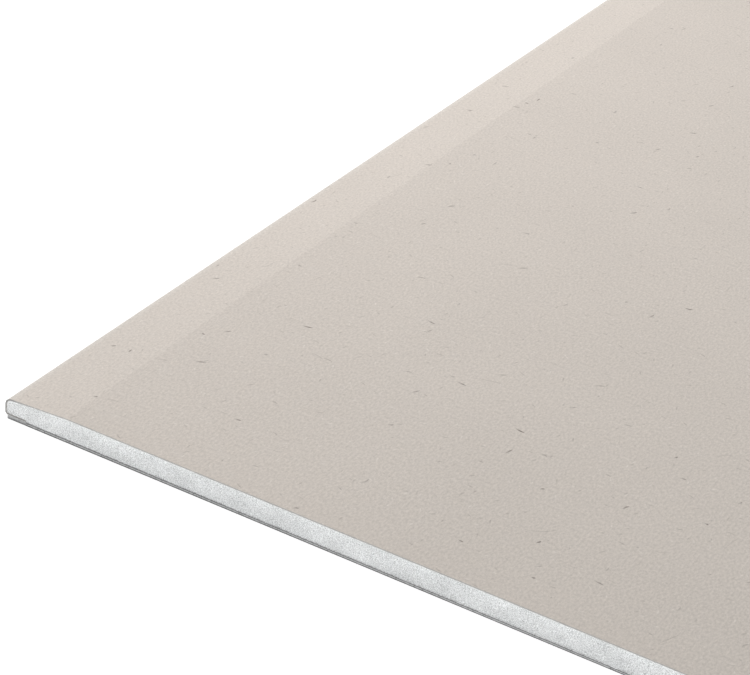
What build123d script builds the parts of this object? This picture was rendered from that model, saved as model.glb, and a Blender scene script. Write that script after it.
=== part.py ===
"""Tapered-edge drywall sheet, lying flat with its face up.

A sheet is a gypsum core cast between two papers. The face paper covers the
front, goes round both long edges and is folded under the core. The back
paper is a flat sheet glued over the core and the two folds. The long edges
are tapered, so that a taped joint fills up flush, and the ends are cut
square and left bare.

Lengths are in millimetres. X runs across the width, Y along the length and
Z up out of the face. The origin is at the middle of the back.
"""

from build123d import *

import os

# Whole sheet
sheet_width = 1200.0
sheet_length = 2400.0
sheet_thickness = 12.5

# Long edges
taper_width = 34.0
taper_depth = 2.0
upper_edge_radius = 3.4
lower_edge_radius = 1.8

# Papers, and how far the folds and the back paper reach
face_paper_thickness = 0.8
face_paper_fold = 11.6
back_paper_thickness = 1.9
back_paper_inset = 1.3

# Heights and distances from the middle that follow from them
half_width = sheet_width / 2
taper_start = half_width - taper_width
edge_height = sheet_thickness - taper_depth
core_width_between_folds = sheet_width - 2 * face_paper_fold

# Every section is drawn at the front end and runs to the back end
front_end = Plane.XZ.offset(sheet_length / 2)

# Bound section: the core with its face paper on, down to the top of the back paper
with BuildSketch(front_end) as bound_section:
    with BuildLine():
        Polyline(
            (-half_width, back_paper_thickness),
            (half_width, back_paper_thickness),
            (half_width, edge_height),
            (taper_start, sheet_thickness),
            (-taper_start, sheet_thickness),
            (-half_width, edge_height),
            close=True,
        )
    make_face()
    fillet(bound_section.vertices().group_by(Axis.Y)[1], radius=upper_edge_radius)
    fillet(bound_section.vertices().group_by(Axis.Y)[0], radius=lower_edge_radius)

# Core section: what the paper leaves inside, and down between the two folds to the back paper
with BuildSketch(front_end) as core_section:
    offset(bound_section.sketch_local, amount=-face_paper_thickness)
    with Locations((0, back_paper_thickness)):
        Rectangle(
            core_width_between_folds,
            2 * face_paper_thickness,
            align=(Align.CENTER, Align.MIN),
        )

# Face paper section: the rest of the bound section, from fold to fold by way of the face
with BuildSketch(front_end) as face_paper_section:
    add(bound_section.sketch_local)
    add(core_section.sketch_local, mode=Mode.SUBTRACT)

# Back paper section: flat over the core and both folds, a little short of each long edge
with BuildSketch(front_end) as back_paper_section:
    Rectangle(
        sheet_width - 2 * back_paper_inset,
        back_paper_thickness,
        align=(Align.CENTER, Align.MIN),
    )

# Gypsum core
with BuildPart() as gypsum_core:
    extrude(core_section.sketch, amount=-sheet_length)

# Face paper
with BuildPart() as face_paper:
    extrude(face_paper_section.sketch, amount=-sheet_length)

# Back paper
with BuildPart() as back_paper:
    extrude(back_paper_section.sketch, amount=-sheet_length)

gypsum_core.part.label = "gypsum_core"
face_paper.part.label = "face_paper"
back_paper.part.label = "back_paper"

os.makedirs("parts", exist_ok=True)
export_step(gypsum_core.part, "parts/gypsum_core.step")
export_step(face_paper.part, "parts/face_paper.step")
export_step(back_paper.part, "parts/back_paper.step")
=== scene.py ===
"""Looks of a tapered-edge drywall sheet that lies flat with its face up.

The sheet is a gypsum core between two papers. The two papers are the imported
solids with paper materials on them. The core is cut from its own solid again,
so that both cut ends have the grainy, pitted surface of set gypsum.

Lengths are in metres. X runs across the width, Y along the length and Z up
out of the face. The floor is at zero.
"""

import math
import random

import bmesh
import bpy
from bpy.props import FloatProperty, FloatVectorProperty, IntProperty, PointerProperty
from mathutils import Matrix, Vector, noise


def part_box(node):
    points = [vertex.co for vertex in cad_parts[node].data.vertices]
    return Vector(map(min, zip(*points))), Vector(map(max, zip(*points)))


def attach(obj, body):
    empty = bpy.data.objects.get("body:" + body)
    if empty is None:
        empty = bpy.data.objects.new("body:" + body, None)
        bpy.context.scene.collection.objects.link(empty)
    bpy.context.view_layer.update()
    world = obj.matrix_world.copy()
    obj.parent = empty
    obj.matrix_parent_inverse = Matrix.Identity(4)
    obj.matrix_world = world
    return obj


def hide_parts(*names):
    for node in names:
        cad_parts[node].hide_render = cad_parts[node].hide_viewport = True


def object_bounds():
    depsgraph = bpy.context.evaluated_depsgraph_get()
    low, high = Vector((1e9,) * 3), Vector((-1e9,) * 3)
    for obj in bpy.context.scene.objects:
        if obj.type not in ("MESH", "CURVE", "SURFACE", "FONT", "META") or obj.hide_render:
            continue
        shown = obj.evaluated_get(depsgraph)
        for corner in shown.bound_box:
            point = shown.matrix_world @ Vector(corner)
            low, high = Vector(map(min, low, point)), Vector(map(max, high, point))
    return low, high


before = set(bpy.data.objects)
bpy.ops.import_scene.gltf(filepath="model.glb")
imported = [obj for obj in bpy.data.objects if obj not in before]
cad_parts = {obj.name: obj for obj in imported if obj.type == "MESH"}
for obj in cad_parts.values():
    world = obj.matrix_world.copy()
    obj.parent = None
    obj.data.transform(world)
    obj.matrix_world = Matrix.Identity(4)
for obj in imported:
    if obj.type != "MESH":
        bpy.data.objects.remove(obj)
cad_low, cad_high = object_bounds()

bl_info = {
    "name": "Drywall sheet",
    "version": (1, 0, 0),
    "blender": (4, 5, 0),
    "location": "3D View > Sidebar > Drywall",
    "description": "Dresses a tapered-edge drywall sheet with its papers and gypsum, and lights it",
    "category": "Object",
}

MM = 0.001

# Where the sheet's pieces are
core_low, core_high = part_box("gypsum_core")
face_low, face_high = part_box("face_paper")
back_low, back_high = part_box("back_paper")
sheet_middle = (back_low.z + face_high.z) / 2
back_middle = (back_low.z + back_high.z) / 2
long_edge = face_high.x

# How wide each taper is, how much it would lower the face at the long edge, and how far
# its crease reaches each way
TAPER_WIDTH = 34 * MM
TAPER_DEPTH = 2 * MM
CREASE = 0.3 * MM
taper_start = long_edge - TAPER_WIDTH

# Painted light: how much paler each taper is than the rest of the face, and the distances
# from the long edge between which the paper turns to its painted highlight colour
TAPER_PAINTED_LIGHT = 1.042
EDGE_HIGHLIGHT = (5.5 * MM, 1.5 * MM)

# The face paper goes this far under each long edge, above the back paper
FLAP = 11.6 * MM

# The face paper's cut edge: the depths between which its dark outermost ply ends, the
# distances from the long edge between which all its plies turn dark, and the heights in
# its flap between which it turns dark and its painted shade begins, and where that shade ends
OUTER_PLY = (0.45 * MM, 0.65 * MM)
DARK_BEND = (15 * MM, 4 * MM)
FLAP_BOTTOM = (0.2 * MM, 0.35 * MM)
FLAP_TOP = (0.7 * MM, 1.0 * MM)

# How far the outermost ply and the flap's pale bottom go towards the dark ply's colour,
# and how pale the flap's top is against that colour, a painted shade where it meets the core
OUTER_PLY_TONE = 0.8
FLAP_BOTTOM_TONE = 0.45
FLAP_TOP_PAINTED_SHADE = 0.7

# The back paper's cut edge: the distances from its middle between which its pale ply
# ends, how much gypsum the cut smears over its top, at a long edge and a reach in, and
# how far two of its layers blend each way
PALE_PLY = (0.12 * MM, 0.38 * MM)
SMEAR = (0.05 * MM, 0.45 * MM)
SMEAR_REACH = 300 * MM
SMEAR_BLEND = 0.05 * MM
PLY_BLEND = 0.1 * MM

# How pale each part of that edge is, against the paper's outside
BACK_PALENESS = {
    "lower ply": 0.41,
    "upper ply": 0.66,
    "pale ply": 1.9,
    "smear": 2.2,
    "lower half under the flap": 0.68,
    "upper half under the flap": 1.33,
}

# The paper's fibres lean this far from the width, and most that show are this dark
FIBRE_LEAN = math.radians(40)
DARK_FIBRE = "#544C46"

# Kinds of fibre that show in the face paper: dark splinters, smaller and fainter ones,
# pale ones and a few long hairs. Spacing is one cell of the pattern, share is how many
# cells have one, bow is how far it bends as a part of half its length, tone is how far
# it goes towards the fibre's colour, and lean is how far it turns from the common lean.
FACE_FIBRES = [
    {
        "spacing": 20 * MM,
        "share": 0.26,
        "length": (2.0 * MM, 6.0 * MM),
        "width": 0.8 * MM,
        "bow": 0.3,
        "tone": (0.3, 1.0),
        "lean": math.radians(55),
        "colour": DARK_FIBRE,
    },
    {
        "spacing": 9 * MM,
        "share": 0.45,
        "length": (1.2 * MM, 4.5 * MM),
        "width": 0.6 * MM,
        "bow": 0.3,
        "tone": (0.15, 0.5),
        "lean": math.radians(75),
        "colour": "#6E665F",
    },
    {
        "spacing": 7 * MM,
        "share": 0.4,
        "length": (1.2 * MM, 4.0 * MM),
        "width": 0.5 * MM,
        "bow": 0.3,
        "tone": (0.05, 0.32),
        "lean": math.radians(90),
        "colour": "#F3EEE8",
    },
    {
        "spacing": 42 * MM,
        "share": 0.4,
        "length": (8.0 * MM, 16.0 * MM),
        "width": 0.4 * MM,
        "bow": 0.5,
        "tone": (0.15, 0.4),
        "lean": math.radians(60),
        "colour": DARK_FIBRE,
    },
]

# Sizes of the other patterns. Clouds are where more or less fibre settled.
SMALL_CLOUD = 9 * MM
LARGE_CLOUD = 60 * MM
BACK_FIBRE = 0.9 * MM
BACK_CLOUD = 14 * MM
CRYSTAL_CLUMP = 0.42 * MM
MOTTLE = 14 * MM
BUBBLE_SPACING = 1.5 * MM

# Where a bubble's painted shade ends, as parts of that spacing, and how pale the gypsum is
# with painted shade in a bubble and low down next to the back paper, against the rest
BUBBLE_EDGE = (0.12, 0.3)
BUBBLE_PAINTED_SHADE = 0.93
GYPSUM_LOW_PAINTED_SHADE = 0.905

# The cut ends are uneven in broad waves and in fine ones, read this far apart so that the
# ends differ, and one inner corner in so many is an open bubble
BROAD_WAVE = 5 * MM
FINE_WAVE = 1.4 * MM
ENDS_APART = 10
CORNERS_PER_PIT = 14

# Corners of a mesh this close are one, and a corner this close to a cut lies on it
SAME_CORNER = 0.001 * MM
ON_CUT = 0.0001 * MM

# Soft lamps. Their places and what they point at are measured from the near left corner
# of the sheet, on the floor, and their sizes are width and depth.
LAMPS = {
    "key": {"place": (-0.643, 0.556, 1.036), "aim": (0.15, 0.2, 0), "size": (1.0, 1.0)},
    "front": {"place": (0.35, -1.7, 0.3), "aim": (0.2, 0, 0), "size": (1.6, 0.5)},
    "side": {"place": (1.7, 0.7, 0.9), "aim": (1.4, 0.7, 0), "size": (1.0, 1.0)},
    "far": {"place": (1.15, 2.2, 0.8), "aim": (1.0, 1.9, 0), "size": (1.5, 1.5)},
    "end": {"place": (-0.55, 2.7, 1.25), "aim": (-0.45, 2.6, 0), "size": (1.0, 1.0)},
}

# What the camera looks at on the face, across and along from the near left corner, and
# the width in millimetres of the sensor that its lens is for
CAMERA_AIM = (105.4 * MM, 149.1 * MM)
SENSOR_WIDTH = 36

# How far the floor reaches each way, and how far it is below the back, so that the two
# don't share a plane
FLOOR_REACH = 60
FLOOR_GAP = 0.1 * MM


def linear(hex_colour):
    """The linear colour of an sRGB hex value, with full opacity."""
    shares = [int(hex_colour[i : i + 2], 16) / 255 for i in (1, 3, 5)]
    colour = [s / 12.92 if s <= 0.04045 else ((s + 0.055) / 1.055) ** 2.4 for s in shares]
    return (*colour, 1.0)


WHITE = linear("#FFFFFF")


def add(tree, kind, inputs=None, output=0, **settings):
    """Adds a node with its settings, sets or links its inputs, and returns one of its outputs.

    Inputs go by name or number. A MapRange takes 0 from between 1 and 2 to between 3
    and 4, which are 0 and 1 if they aren't given. A Mix goes by 0 from 2 to 3, or from
    colour 6 to colour 7.
    """
    node = tree.nodes.new("ShaderNode" + kind)
    for name, value in settings.items():
        setattr(node, name, value)
    for name, value in (inputs or {}).items():
        if isinstance(value, bpy.types.NodeSocket):
            tree.links.new(value, node.inputs[name])
        else:
            node.inputs[name].default_value = value
    return node.outputs[output] if node.outputs else None


def new_material(name):
    """A material with an empty node tree."""
    material = bpy.data.materials.new(name)
    material.use_nodes = True
    material.node_tree.nodes.clear()
    return material


def put_on(piece, material):
    """The piece has this material and no other."""
    piece.data.materials.clear()
    piece.data.materials.append(material)


def varied(tree, level, pattern, swing):
    """A level that a noise pattern, mostly from 0.3 to 0.7, moves by up to swing each way."""
    move = add(tree, "MapRange", {0: pattern, 1: 0.3, 2: 0.7, 3: -swing, 4: swing})
    return add(tree, "Math", {0: level, 1: move}, operation="ADD")


def faces_along(tree, axis, least):
    """One where the surface faces along an axis, either way, by at least this much."""
    facing = add(tree, "NewGeometry", output="True Normal")
    facing = add(tree, "SeparateXYZ", {0: facing}, output=axis)
    facing = add(tree, "Math", {0: facing}, operation="ABSOLUTE")
    return add(tree, "Math", {0: facing, 1: least}, operation="GREATER_THAN")


def paper_plane(tree):
    """Coordinates on the face paper as if it were unrolled and laid flat.

    Returns them with the distance from the sheet's middle line and the height.
    """
    place = add(tree, "TexCoord", output="Object")
    split = add(tree, "SeparateXYZ", {0: place}).node
    x, y, z = split.outputs
    across = add(tree, "Math", {0: x}, operation="ABSOLUTE")
    down = add(tree, "Math", {0: face_high.z, 1: z}, operation="SUBTRACT")
    rolled = add(tree, "Math", {0: across, 1: down}, operation="ADD")
    side = add(tree, "Math", {0: x}, operation="SIGN")
    laid = add(tree, "Math", {0: rolled, 1: side}, operation="MULTIPLY")
    return add(tree, "CombineXYZ", {0: laid, 1: y}), across, z


def fibre_mask(tree, plane, kind):
    """Where the fibres of one kind lie: each a bent, pointed stroke at a random place and lean."""
    cells = add(
        tree,
        "TexVoronoi",
        {"Vector": plane, "Scale": 1 / kind["spacing"], "Randomness": 1.0},
        voronoi_dimensions="2D",
    ).node
    draw = add(tree, "SeparateColor", {0: cells.outputs["Color"]}).node
    red, green, blue = draw.outputs
    # Along and beside the stroke
    turn = add(
        tree,
        "MapRange",
        {0: red, 3: -FIBRE_LEAN - kind["lean"], 4: -FIBRE_LEAN + kind["lean"]},
    )
    away = add(tree, "VectorMath", {0: plane, 1: cells.outputs["Position"]}, operation="SUBTRACT")
    turned = add(tree, "VectorRotate", {"Vector": away, "Angle": turn}, rotation_type="Z_AXIS")
    along, beside, _ = add(tree, "SeparateXYZ", {0: turned}).node.outputs
    reach = add(
        tree,
        "MapRange",
        {0: green, 3: kind["length"][0] / 2, 4: kind["length"][1] / 2},
    )
    part = add(tree, "Math", {0: along, 1: reach}, operation="DIVIDE")
    part_squared = add(tree, "Math", {0: part, 1: part}, operation="MULTIPLY")
    # Bent to one side, by a fourth draw that is made from the first
    spread = add(tree, "Math", {0: red, 1: 9.0}, operation="MULTIPLY")
    spread = add(tree, "Math", {0: spread}, operation="FRACT")
    bow = add(tree, "MapRange", {0: spread, 3: -kind["bow"], 4: kind["bow"]})
    bow = add(tree, "Math", {0: bow, 1: reach}, operation="MULTIPLY")
    bow = add(tree, "Math", {0: bow, 1: part_squared}, operation="MULTIPLY")
    beside = add(tree, "Math", {0: beside, 1: bow}, operation="SUBTRACT")
    beside = add(tree, "Math", {0: beside}, operation="ABSOLUTE")
    # Thinner towards both points, but never without width
    thin = add(tree, "Math", {0: 1.0, 1: part_squared}, operation="SUBTRACT")
    thin = add(tree, "Math", {0: thin, 1: 0.001}, operation="MAXIMUM")
    width = add(tree, "Math", {0: thin, 1: kind["width"]}, operation="MULTIPLY")
    body = add(
        tree,
        "MapRange",
        {0: beside, 2: width, 3: 1.0, 4: 0.0},
        interpolation_type="SMOOTHSTEP",
    )
    # Fainter towards one end
    fade = add(tree, "MapRange", {0: part, 1: -1.0, 2: 0.4, 3: 0.3, 4: 1.0})
    body = add(tree, "Math", {0: body, 1: fade}, operation="MULTIPLY")
    # Only some cells have one, and some are darker
    tone = add(
        tree,
        "MapRange",
        {0: blue, 1: 0.0, 2: kind["share"], 3: kind["tone"][1], 4: kind["tone"][0]},
    )
    there = add(tree, "Math", {0: blue, 1: kind["share"]}, operation="LESS_THAN")
    mask = add(tree, "Math", {0: body, 1: tone}, operation="MULTIPLY")
    return add(tree, "Math", {0: mask, 1: there}, operation="MULTIPLY")


def face_outside(tree, settings, plane, across, grain, small_clouds):
    """The face paper's outside: grain, clouds and fibres, with painted light on tapers and long
    edges.
    """
    large_clouds = add(
        tree,
        "TexNoise",
        {"Vector": plane, "Scale": 1 / LARGE_CLOUD, "Detail": 3.0, "Roughness": 0.5},
        noise_dimensions="2D",
    )
    level = varied(tree, 1.0, grain, settings.grain_swing)
    level = varied(tree, level, small_clouds, swing=0.018)
    level = varied(tree, level, large_clouds, swing=0.01)
    # Painted light: the tapers, which tilt towards the key lamp, are drawn a little paler
    painted_taper_light = add(
        tree,
        "MapRange",
        {0: across, 1: taper_start - CREASE, 2: taper_start + CREASE, 3: 1.0, 4: TAPER_PAINTED_LIGHT},
    )
    level = add(tree, "Math", {0: level, 1: painted_taper_light}, operation="MULTIPLY")
    # Painted highlight: paler towards the long edge, where the paper rounds over it
    edge_highlight = add(tree, "MapRange", {0: across, 1: long_edge - EDGE_HIGHLIGHT[0], 2: long_edge - EDGE_HIGHLIGHT[1]})
    colour = add(
        tree,
        "Mix",
        {0: edge_highlight, 6: settings.face_colour, 7: settings.edge_highlight_colour},
        output=2,
        data_type="RGBA",
    )
    colour = add(tree, "VectorMath", {0: colour, "Scale": level}, operation="SCALE")
    for kind in FACE_FIBRES:
        colour = add(
            tree,
            "Mix",
            {0: fibre_mask(tree, plane, kind), 6: colour, 7: linear(kind["colour"])},
            output=2,
            data_type="RGBA",
        )
    return colour


def face_plies(tree, settings, across, height, grain):
    """The face paper's cut edge.

    Only its outermost ply is dark, but all are where it goes round the long edge. Its
    flap is darkest at the top, with painted shade where it meets the core, and pale at the bottom.
    """
    top = add(
        tree,
        "MapRange",
        {0: across, 1: taper_start, 2: long_edge, 3: face_high.z, 4: face_high.z - TAPER_DEPTH},
    )
    depth = add(tree, "Math", {0: top, 1: height}, operation="SUBTRACT")
    uneven = varied(tree, depth, grain, swing=0.15 * MM)
    outer = add(
        tree,
        "MapRange",
        {0: uneven, 1: OUTER_PLY[0], 2: OUTER_PLY[1], 3: OUTER_PLY_TONE, 4: 0.0},
    )
    near = add(
        tree,
        "MapRange",
        {0: across, 1: long_edge - DARK_BEND[0], 2: long_edge - DARK_BEND[1]},
    )
    low = add(tree, "Math", {0: height, 1: sheet_middle}, operation="LESS_THAN")
    dark = add(tree, "Math", {0: outer, 1: near}, operation="MAXIMUM")
    dark = add(tree, "Math", {0: dark, 1: low}, operation="MAXIMUM")
    # Upwards through the flap
    rise = add(tree, "Math", {0: height, 1: face_low.z}, operation="SUBTRACT")
    flap = add(
        tree,
        "MapRange",
        {0: rise, 1: FLAP_BOTTOM[0], 2: FLAP_BOTTOM[1], 3: FLAP_BOTTOM_TONE, 4: 1.0},
    )
    dark = add(tree, "Math", {0: dark, 1: flap}, operation="MULTIPLY")
    edge = add(
        tree,
        "Mix",
        {0: dark, 6: settings.face_ply_colour, 7: settings.face_cut_colour},
        output=2,
        data_type="RGBA",
    )
    # Painted shade across the flap's upper part, where it meets the core
    below = add(
        tree,
        "MapRange",
        {0: rise, 1: FLAP_BOTTOM[0], 2: FLAP_BOTTOM[1], 3: 1.0, 4: FLAP_TOP_PAINTED_SHADE},
    )
    above = add(
        tree,
        "MapRange",
        {0: rise, 1: FLAP_TOP[0], 2: FLAP_TOP[1], 3: FLAP_TOP_PAINTED_SHADE, 4: 1.0},
    )
    shade = add(tree, "Math", {0: below, 1: above}, operation="MAXIMUM")
    return add(tree, "VectorMath", {0: edge, "Scale": shade}, operation="SCALE")


def face_liner(settings):
    """Ivory face liner, a many-ply paperboard with a matt, calendered surface.

    It gives the eye a warm pale grey with fine paper grain, a few dark and pale fibres, faint
    clouds, painted light on its tapers and long edges, and a darker line where the cut shows its
    edge.
    Most of its fibres are some hundredths of a millimetre wide, too fine to show, so
    they are drawn as flocs that are longer along the sheet, the way the paper was made.
    """
    material = new_material("Ivory_face_liner_paper")
    tree = material.node_tree
    plane, across, height = paper_plane(tree)
    drawn_out = add(
        tree,
        "VectorMath",
        {0: plane, 1: (1, 1 / settings.grain_stretch, 1)},
        operation="MULTIPLY",
    )
    grain = add(
        tree,
        "TexNoise",
        {"Vector": drawn_out, "Scale": 1 / settings.grain, "Detail": 3.0, "Roughness": 0.8},
        noise_dimensions="2D",
    )
    small_clouds = add(
        tree,
        "TexNoise",
        {"Vector": plane, "Scale": 1 / SMALL_CLOUD, "Detail": 3.0, "Roughness": 0.6},
        noise_dimensions="2D",
    )
    outside = face_outside(tree, settings, plane, across, grain, small_clouds)
    edge = face_plies(tree, settings, across, height, grain)
    cut = faces_along(tree, axis=1, least=0.7)
    colour = add(tree, "Mix", {0: cut, 6: outside, 7: edge}, output=2, data_type="RGBA")
    roughness = varied(tree, 0.82, small_clouds, swing=0.08)
    bump = add(tree, "Bump", {"Height": grain, "Strength": 0.3, "Distance": 0.06 * MM})
    surface = add(
        tree,
        "BsdfPrincipled",
        {"Base Color": colour, "Roughness": roughness, "IOR": 1.5, "Normal": bump},
    )
    add(tree, "OutputMaterial", {"Surface": surface})
    return material


def set_gypsum(settings):
    """Set gypsum, cast as foam and cut across.

    It gives the eye a white, chalky surface, speckled by crystals and by painted shade
    in its air bubbles, mottled where it foamed unevenly, and darker towards the back,
    a painted shade near the floor. Its crystals are some hundredths of a millimetre
    long, too fine to show, so they are drawn as clumps.
    """
    material = new_material("Cut_set_gypsum")
    tree = material.node_tree
    place = add(tree, "TexCoord", output="Object")
    crystals = add(
        tree,
        "TexNoise",
        {"Vector": place, "Scale": 1 / CRYSTAL_CLUMP, "Detail": 1.0, "Roughness": 0.6},
    )
    mottles = add(
        tree,
        "TexNoise",
        {"Vector": place, "Scale": 1 / MOTTLE, "Detail": 3.0, "Roughness": 0.55},
    )
    # Painted shade: a little darker in each bubble, a small pit in the cut
    bubbles = add(
        tree,
        "TexVoronoi",
        {"Vector": place, "Scale": 1 / BUBBLE_SPACING, "Randomness": 1.0},
    )
    pore_shade_and_relief = add(
        tree,
        "MapRange",
        {0: bubbles, 1: BUBBLE_EDGE[0], 2: BUBBLE_EDGE[1], 3: BUBBLE_PAINTED_SHADE, 4: 1.0},
        interpolation_type="SMOOTHSTEP",
    )
    level = varied(tree, 1.0, crystals, settings.speckle)
    level = varied(tree, level, mottles, swing=0.095)
    level = add(tree, "Math", {0: level, 1: pore_shade_and_relief}, operation="MULTIPLY")
    # Painted shade: darker towards the back, low down near the floor
    height = add(tree, "SeparateXYZ", {0: place}, output=2)
    low_painted_shade = add(
        tree,
        "MapRange",
        {0: height, 1: core_low.z, 2: core_high.z, 3: GYPSUM_LOW_PAINTED_SHADE, 4: 1.0},
    )
    level = add(tree, "Math", {0: level, 1: low_painted_shade}, operation="MULTIPLY")
    colour = add(tree, "VectorMath", {0: settings.colour[:3], "Scale": level}, operation="SCALE")
    relief = add(tree, "Math", {0: crystals, 1: pore_shade_and_relief}, operation="ADD")
    bump = add(tree, "Bump", {"Height": relief, "Strength": 0.7, "Distance": 0.2 * MM})
    surface = add(
        tree,
        "BsdfPrincipled",
        {"Base Color": colour, "Roughness": 0.92, "IOR": 1.52, "Normal": bump},
    )
    add(tree, "OutputMaterial", {"Surface": surface})
    return material


def back_plies(tree, across, height, grain):
    """How pale the back paper's cut edge is: two dark plies with a paler one between them."""
    # The cut smears gypsum over the top of it, more where the core is softer, away from
    # the long edges
    smear = add(
        tree,
        "MapRange",
        {0: across, 1: long_edge, 2: long_edge - SMEAR_REACH, 3: SMEAR[0], 4: SMEAR[1]},
    )
    # Paler in the middle of what is left, darkest at the very back
    lowered = add(tree, "Math", {0: smear, 1: -0.5, 2: back_middle}, operation="MULTIPLY_ADD")
    off_middle = add(tree, "Math", {0: height, 1: lowered}, operation="SUBTRACT")
    far_off = add(tree, "Math", {0: off_middle}, operation="ABSOLUTE")
    far_off = varied(tree, far_off, grain, swing=0.25 * MM)
    pale = add(
        tree,
        "MapRange",
        {0: far_off, 1: PALE_PLY[0], 2: PALE_PLY[1], 3: BACK_PALENESS["pale ply"], 4: 0.0},
    )
    outer = add(
        tree,
        "MapRange",
        {
            0: height,
            1: back_low.z,
            2: back_high.z,
            3: BACK_PALENESS["lower ply"],
            4: BACK_PALENESS["upper ply"],
        },
    )
    ply = add(tree, "Math", {0: pale, 1: outer}, operation="MAXIMUM")
    smeared = add(tree, "Math", {0: height, 1: smear}, operation="ADD")
    smeared = varied(tree, smeared, grain, swing=0.1 * MM)
    smeared = add(
        tree,
        "MapRange",
        {0: smeared, 1: back_high.z - SMEAR_BLEND, 2: back_high.z + SMEAR_BLEND},
    )
    ply = add(tree, "Mix", {0: smeared, 2: ply, 3: BACK_PALENESS["smear"]})
    # The flap kept the upper half clean and pale
    upper = add(
        tree,
        "MapRange",
        {
            0: height,
            1: back_middle - PLY_BLEND,
            2: back_middle + PLY_BLEND,
            3: BACK_PALENESS["lower half under the flap"],
            4: BACK_PALENESS["upper half under the flap"],
        },
    )
    under_flap = add(tree, "Math", {0: across, 1: long_edge - FLAP}, operation="GREATER_THAN")
    return add(tree, "Mix", {0: under_flap, 2: ply, 3: upper})


def back_liner(settings):
    """Grey back liner, a thicker paperboard made from recycled fibre.

    It gives the eye a plain grey with coarse fibre, and at its cut edges two
    dark plies with a paler one between them. Single fibres are too fine to show, so
    they are drawn as flocs.
    """
    material = new_material("Grey_back_liner_paper")
    tree = material.node_tree
    place = add(tree, "TexCoord", output="Object")
    x, _, height = add(tree, "SeparateXYZ", {0: place}).node.outputs
    across = add(tree, "Math", {0: x}, operation="ABSOLUTE")
    grain = add(
        tree,
        "TexNoise",
        {"Vector": place, "Scale": 1 / BACK_FIBRE, "Detail": 2.0, "Roughness": 0.7},
    )
    clouds = add(
        tree,
        "TexNoise",
        {"Vector": place, "Scale": 1 / BACK_CLOUD, "Detail": 3.0, "Roughness": 0.6},
    )
    flat = faces_along(tree, axis=2, least=0.5)
    ply = add(tree, "Mix", {0: flat, 2: back_plies(tree, across, height, grain), 3: 1.0})
    uneven = varied(tree, 1.0, grain, swing=0.3)
    uneven = varied(tree, uneven, clouds, swing=0.04)
    level = add(tree, "Math", {0: ply, 1: uneven}, operation="MULTIPLY")
    plain = settings.back_colour[:3]
    colour = add(tree, "VectorMath", {0: plain, "Scale": level}, operation="SCALE")
    bump = add(tree, "Bump", {"Height": grain, "Strength": 0.4, "Distance": 0.1 * MM})
    surface = add(
        tree,
        "BsdfPrincipled",
        {"Base Color": colour, "Roughness": 0.9, "IOR": 1.5, "Normal": bump},
    )
    add(tree, "OutputMaterial", {"Surface": surface})
    return material


class DrywallPapers(bpy.types.PropertyGroup):
    """Colours and grain of the two papers."""

    face_colour: FloatVectorProperty(
        name="Face paper",
        description="Colour of the paper on the face and round the long edges",
        subtype="COLOR",
        size=4,
        default=linear("#BFB7AF"),
    )
    # Painted highlight on the rounded long edges, paler than the face
    edge_highlight_colour: FloatVectorProperty(
        name="Wrapped edge",
        description="Colour of the face paper where it goes round the long edges",
        subtype="COLOR",
        size=4,
        default=linear("#C5BFB8"),
    )
    face_cut_colour: FloatVectorProperty(
        name="Face paper, cut",
        description="Colour of the face paper's outermost ply where the sheet is cut",
        subtype="COLOR",
        size=4,
        default=linear("#969492"),
    )
    face_ply_colour: FloatVectorProperty(
        name="Face paper, inner plies",
        description="Colour of the face paper's inner plies where the sheet is cut",
        subtype="COLOR",
        size=4,
        default=linear("#E4E3E0"),
    )
    back_colour: FloatVectorProperty(
        name="Back paper",
        description="Colour of the paper on the back",
        subtype="COLOR",
        size=4,
        default=linear("#9A9A9A"),
    )
    grain: FloatProperty(
        name="Grain",
        description="Size of the face paper's grain",
        unit="LENGTH",
        default=1.1 * MM,
        min=0.1 * MM,
    )
    grain_stretch: FloatProperty(
        name="Grain stretch",
        description="How many times longer the grain is along the sheet than across it",
        default=1.7,
        min=1,
    )
    grain_swing: FloatProperty(
        name="Grain contrast",
        description="How far the grain makes the face paper paler and darker",
        subtype="FACTOR",
        default=0.132,
        min=0,
        max=1,
    )


class DrywallCore(bpy.types.PropertyGroup):
    """Colour and surface of the gypsum at the cut ends."""

    colour: FloatVectorProperty(
        name="Gypsum",
        description="Colour of the cut gypsum",
        subtype="COLOR",
        size=4,
        default=linear("#E5E6E6"),
    )
    speckle: FloatProperty(
        name="Speckle",
        description="How far crystals make the gypsum paler and darker",
        subtype="FACTOR",
        default=0.39,
        min=0,
        max=1,
    )
    cell: FloatProperty(
        name="Cell",
        description="Size of the cells that the cut ends are divided into",
        unit="LENGTH",
        default=0.65 * MM,
        min=0.3 * MM,
    )
    roughness_depth: FloatProperty(
        name="Relief",
        description="Depth of the uneven surface that the cut leaves",
        unit="LENGTH",
        default=0.25 * MM,
        min=0,
    )
    pit_depth: FloatProperty(
        name="Pits",
        description="Depth of the open air bubbles",
        unit="LENGTH",
        default=0.35 * MM,
        min=0,
    )
    seed: IntProperty(
        name="Seed",
        description="Another number gives another set of pits",
        default=7,
    )


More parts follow.
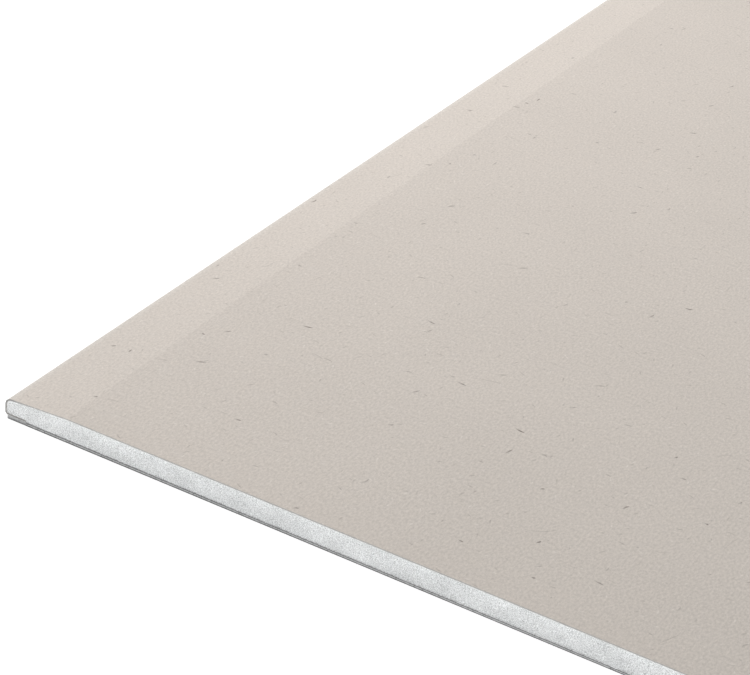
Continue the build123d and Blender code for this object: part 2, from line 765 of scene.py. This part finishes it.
class DrywallStage(bpy.types.PropertyGroup):
    """Light and camera."""

    ambient: FloatProperty(
        name="Ambient light",
        description="Strength of the light from all round",
        default=0.35,
        min=0,
    )
    ambient_colour: FloatVectorProperty(
        name="Ambient colour",
        description="Colour of the light from all round, a little cooler than the key lamp's",
        subtype="COLOR",
        size=4,
        default=linear("#FAFEFF"),
    )
    key_power: FloatProperty(
        name="Key lamp",
        description="Power of the soft lamp behind the left long edge",
        unit="POWER",
        default=15.8,
        min=0,
    )
    key_colour: FloatVectorProperty(
        name="Key colour",
        description="Colour of the key lamp",
        subtype="COLOR",
        default=linear("#FFFDFD")[:3],
    )
    front_power: FloatProperty(
        name="Front lamp",
        description="Power of the low soft lamp in front of the cut end",
        unit="POWER",
        default=14.5,
        min=0,
    )
    side_power: FloatProperty(
        name="Side lamp",
        description="Power of the soft lamp beside the right long edge",
        unit="POWER",
        default=5.4,
        min=0,
    )
    far_power: FloatProperty(
        name="Far lamp",
        description="Power of the soft lamp over the far right of the sheet",
        unit="POWER",
        default=5.2,
        min=0,
    )
    end_power: FloatProperty(
        name="End lamp",
        description="Power of the soft lamp behind the far left corner",
        unit="POWER",
        default=10.9,
        min=0,
    )
    lens: FloatProperty(
        name="Lens",
        description="Focal length of the camera",
        unit="CAMERA",
        default=111.22,
        min=10,
    )
    azimuth: FloatProperty(
        name="Camera azimuth",
        description="How far the camera stands round to the right of the cut end",
        subtype="ANGLE",
        default=math.radians(27.12),
    )
    elevation: FloatProperty(
        name="Camera elevation",
        description="How far the camera looks down",
        subtype="ANGLE",
        default=math.radians(29.93),
    )
    roll: FloatProperty(
        name="Camera roll",
        description="How far the camera is tilted to one side",
        subtype="ANGLE",
        default=math.radians(6.0),
    )
    distance: FloatProperty(
        name="Camera distance",
        description="From the camera to the place it looks at",
        unit="LENGTH",
        default=1.1097,
        min=0.1,
    )


class DRYWALL_OT_dress_papers(bpy.types.Operator):
    """Give the face paper and the back paper their materials"""

    bl_idname = "drywall.dress_papers"
    bl_label = "Dress both papers"

    def execute(self, context):
        settings = context.scene.drywall_papers
        put_on(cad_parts["face_paper"], face_liner(settings))
        put_on(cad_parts["back_paper"], back_liner(settings))
        return {"FINISHED"}


def elements(faces):
    """The faces with their edges and corners, as the cutting operator takes them."""
    edges = {e for f in faces for e in f.edges}
    corners = {v for f in faces for v in f.verts}
    return [*faces, *edges, *corners]


def cut_repeatedly(mesh, faces, axis, places):
    """Cuts the faces at each place along an axis and returns all that they become."""
    direction = [float(i == axis) for i in range(3)]
    done = []
    for place in places:
        cut = bmesh.ops.bisect_plane(
            mesh,
            geom=elements(faces),
            dist=ON_CUT,
            plane_co=[place * d for d in direction],
            plane_no=direction,
        )
        parts = [g for g in cut["geom"] if isinstance(g, bmesh.types.BMFace)]
        faces = [f for f in parts if f.calc_center_median()[axis] > place]
        done += [f for f in parts if f.calc_center_median()[axis] <= place]
    return done + faces


def steps(low, high, size):
    """Places between low and high, about size apart."""
    count = max(1, round((high - low) / size))
    return [low + (high - low) * i / count for i in range(1, count)]


def on_end(face):
    """Whether a face lies on a cut end and not on a side."""
    return abs(face.normal.y) > 0.9


def end_faces(core):
    """The faces of both cut ends."""
    return [f for f in core.faces if on_end(f)]


def divide_ends(core, cell):
    """Divides both cut ends into small cells, first across and then upwards."""
    ends = end_faces(core)
    if len(ends) != 2:
        raise RuntimeError("The core's solid doesn't have two flat ends")
    columns = cut_repeatedly(core, ends, 0, steps(core_low.x, core_high.x, cell))
    cut_repeatedly(core, columns, 2, steps(core_low.z, core_high.z, cell))
    core.normal_update()


def end_depth(corner, settings):
    """How far the cut surface lies inside the square end at one corner of the mesh."""
    place = Vector((corner.x, math.copysign(ENDS_APART, corner.y), corner.z))
    broad = noise.noise(place / BROAD_WAVE)
    fine = noise.noise(place / FINE_WAVE)
    return settings.roughness_depth * (0.5 + 0.3 * broad + 0.2 * fine)


def roughen_ends(core, settings):
    """Makes both cut ends uneven, with open bubbles in them."""
    ends = end_faces(core)
    corners = {v for f in ends for v in f.verts}
    rims = {v for v in corners if not all(on_end(f) for f in v.link_faces)}
    for corner in corners:
        depth = end_depth(corner.co, settings)
        corner.co.y -= math.copysign(depth, corner.co.y)
    draw = random.Random(settings.seed)
    inner = sorted(corners - rims, key=lambda v: tuple(v.co))
    for corner in draw.sample(inner, len(inner) // CORNERS_PER_PIT):
        depth = settings.pit_depth * draw.uniform(0.3, 1)
        corner.co.y -= math.copysign(depth, corner.co.y)
    for f in ends:
        f.smooth = True
    for e in core.edges:
        e.smooth = all(f.smooth for f in e.link_faces)


class DRYWALL_OT_cut_core(bpy.types.Operator):
    """Make the gypsum core, with a rough cut surface at both ends"""

    bl_idname = "drywall.cut_core"
    bl_label = "Cut the gypsum core"

    def execute(self, context):
        settings = context.scene.drywall_core
        core = bmesh.new()
        core.from_mesh(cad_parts["gypsum_core"].data)
        bmesh.ops.remove_doubles(core, verts=core.verts, dist=SAME_CORNER)
        bmesh.ops.dissolve_limit(
            core,
            angle_limit=math.radians(1),
            verts=core.verts,
            edges=core.edges,
        )
        divide_ends(core, settings.cell)
        roughen_ends(core, settings)
        mesh = bpy.data.meshes.new("gypsum_core_cut")
        core.to_mesh(mesh)
        core.free()
        piece = bpy.data.objects.new("gypsum_core_cut", mesh)
        context.scene.collection.objects.link(piece)
        put_on(piece, set_gypsum(settings))
        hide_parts("gypsum_core")
        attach(piece, "root")
        return {"FINISHED"}


def seen_directly(tree):
    """One for rays from the camera, in a reflection or through glass, and none for light."""
    path = add(tree, "LightPath").node
    seen = path.outputs["Is Camera Ray"]
    for kind in ("Is Glossy Ray", "Is Transmission Ray"):
        seen = add(tree, "Math", {0: seen, 1: path.outputs[kind]}, operation="MAXIMUM")
    return seen


def studio_floor():
    """White paper sweep. It looks white, keeps a faint shadow and throws its light back up."""
    material = new_material("White_studio_floor")
    tree = material.node_tree
    glow = add(tree, "Emission", {"Color": WHITE, "Strength": 0.9})
    shade = add(tree, "BsdfDiffuse", {"Color": linear("#A0A0A0")})
    shown = add(tree, "AddShader", {0: glow, 1: shade})
    lit = add(tree, "BsdfDiffuse", {"Color": linear("#E7E7E7")})
    surface = add(tree, "MixShader", {0: seen_directly(tree), 1: lit, 2: shown})
    add(tree, "OutputMaterial", {"Surface": surface})
    return material


def add_floor(scene):
    """A plain white floor, a hair below the back."""
    sweep = bmesh.new()
    bmesh.ops.create_grid(sweep, x_segments=1, y_segments=1, size=FLOOR_REACH)
    bmesh.ops.translate(sweep, verts=sweep.verts, vec=(0, 0, -FLOOR_GAP))
    mesh = bpy.data.meshes.new("floor")
    sweep.to_mesh(mesh)
    sweep.free()
    floor = bpy.data.objects.new("floor", mesh)
    scene.collection.objects.link(floor)
    put_on(floor, studio_floor())


def light_all_round(scene, settings):
    """Even light from all round, in front of a white background."""
    world = bpy.data.worlds.new("studio")
    world.use_nodes = True
    tree = world.node_tree
    tree.nodes.clear()
    lit = add(tree, "Background", {"Color": settings.ambient_colour, "Strength": settings.ambient})
    shown = add(tree, "Background", {"Color": WHITE, "Strength": 1.0})
    sky = add(tree, "MixShader", {0: seen_directly(tree), 1: lit, 2: shown})
    add(tree, "OutputWorld", {"Surface": sky})
    scene.world = world


def add_lamp(scene, name, power, colour):
    """A soft rectangular lamp that lights the sheet and isn't seen itself."""
    spot = LAMPS[name]
    light = bpy.data.lights.new(name, "AREA")
    light.shape = "RECTANGLE"
    light.size, light.size_y = spot["size"]
    light.energy = power
    light.color = colour
    lamp = bpy.data.objects.new(name, light)
    lamp.location = Vector((cad_low.x, cad_low.y, 0)) + Vector(spot["place"])
    direction = Vector(spot["aim"]) - Vector(spot["place"])
    lamp.rotation_euler = direction.to_track_quat("-Z", "Y").to_euler()
    lamp.visible_camera = False
    scene.collection.objects.link(lamp)


def add_camera(scene, settings):
    """A camera that looks down on the near left corner, with a slight roll."""
    across, along = CAMERA_AIM
    aim = Vector((cad_low.x + across, cad_low.y + along, cad_high.z))
    a, e, r = settings.azimuth, settings.elevation, settings.roll
    back = Vector((math.sin(a) * math.cos(e), -math.cos(a) * math.cos(e), math.sin(e)))
    level_right = Vector((math.cos(a), math.sin(a), 0))
    level_up = back.cross(level_right)
    right = level_right * math.cos(r) + level_up * math.sin(r)
    up = level_up * math.cos(r) - level_right * math.sin(r)
    turn = Matrix((right, up, back)).transposed().to_4x4()
    camera = bpy.data.objects.new("camera", bpy.data.cameras.new("camera"))
    camera.data.lens = settings.lens
    camera.data.sensor_width = SENSOR_WIDTH
    camera.matrix_world = Matrix.Translation(aim + back * settings.distance) @ turn
    scene.collection.objects.link(camera)
    scene.camera = camera


class DRYWALL_OT_set_stage(bpy.types.Operator):
    """Make the floor, the light and the camera"""

    bl_idname = "drywall.set_stage"
    bl_label = "Set the stage"

    def execute(self, context):
        scene = context.scene
        settings = scene.drywall_stage
        add_floor(scene)
        light_all_round(scene, settings)
        add_lamp(scene, "key", settings.key_power, settings.key_colour)
        add_lamp(scene, "front", settings.front_power, WHITE[:3])
        add_lamp(scene, "side", settings.side_power, WHITE[:3])
        add_lamp(scene, "far", settings.far_power, WHITE[:3])
        add_lamp(scene, "end", settings.end_power, WHITE[:3])
        add_camera(scene, settings)
        scene.view_settings.view_transform = "Standard"
        return {"FINISHED"}


class DRYWALL_PT_sheet(bpy.types.Panel):
    """The sheet's settings and the steps that make it"""

    bl_label = "Drywall sheet"
    bl_idname = "DRYWALL_PT_sheet"
    bl_space_type = "VIEW_3D"
    bl_region_type = "UI"
    bl_category = "Drywall"

    def draw(self, context):
        scene = context.scene
        for heading, group, step in (
            ("Papers", scene.drywall_papers, DRYWALL_OT_dress_papers),
            ("Gypsum core", scene.drywall_core, DRYWALL_OT_cut_core),
            ("Stage", scene.drywall_stage, DRYWALL_OT_set_stage),
        ):
            box = self.layout.box()
            box.label(text=heading)
            for name in type(group).__annotations__:
                box.prop(group, name)
            box.operator(step.bl_idname)


GROUPS = {
    "drywall_papers": DrywallPapers,
    "drywall_core": DrywallCore,
    "drywall_stage": DrywallStage,
}
CLASSES = [
    *GROUPS.values(),
    DRYWALL_OT_dress_papers,
    DRYWALL_OT_cut_core,
    DRYWALL_OT_set_stage,
    DRYWALL_PT_sheet,
]


def register():
    for cls in CLASSES:
        bpy.utils.register_class(cls)
    for name, group in GROUPS.items():
        setattr(bpy.types.Scene, name, PointerProperty(type=group))


def unregister():
    for name in GROUPS:
        delattr(bpy.types.Scene, name)
    for cls in reversed(CLASSES):
        bpy.utils.unregister_class(cls)


def main():
    register()
    bpy.ops.drywall.dress_papers()
    bpy.ops.drywall.cut_core()
    bpy.ops.drywall.set_stage()


if __name__ == "__main__":
    main()
